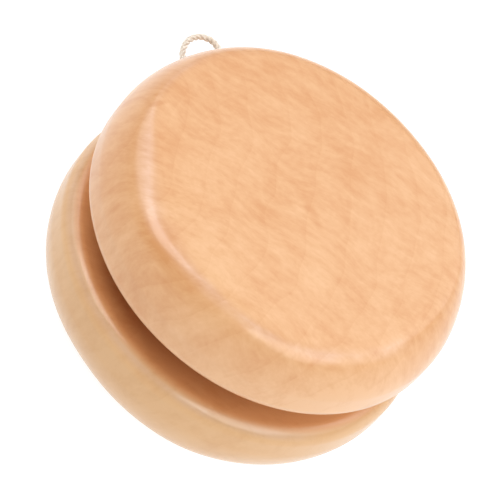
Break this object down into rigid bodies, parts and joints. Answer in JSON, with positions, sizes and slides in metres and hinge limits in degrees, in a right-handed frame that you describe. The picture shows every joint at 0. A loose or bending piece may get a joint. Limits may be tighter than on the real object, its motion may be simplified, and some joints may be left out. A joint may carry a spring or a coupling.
{
  "type": "wooden yo-yo",
  "caption": "Turned wooden yo-yo: round halves glued on an axle dowel, with a cotton string wound in the gap and ending in a small finger loop.",
  "frame": {"origin": "centre of the lower half's flat outer face, on the spin axis, where the yo-yo rests when it lies flat", "axes": "+Z along the spin axis, from the lower half to the upper half; X and Y lie in the resting plane, and the finger loop points out between -X and +Y"},
  "size_m": [0.0562, 0.056, 0.0295],
  "materials": {
    "turned_wood": "pale close-grained hardwood, turned, sanded and satin varnished",
    "dowel_wood": "bare hardwood dowel",
    "cotton": "undyed twisted cotton string"
  },
  "bodies": {
    "spool": {"lower_half": "turned_wood", "upper_half": "turned_wood", "axle": "dowel_wood"},
    "string": {"string_winding": "cotton", "string_lead": "cotton", "string_knot": "cotton", "finger_loop": "cotton"}
  },
  "joints": [
    {"name": "string_turn", "type": "hinge", "parent": "spool", "child": "string", "pos_m": [0, 0, 0.01475], "axis": [0, 0, 1], "continuous": true}
  ]
}
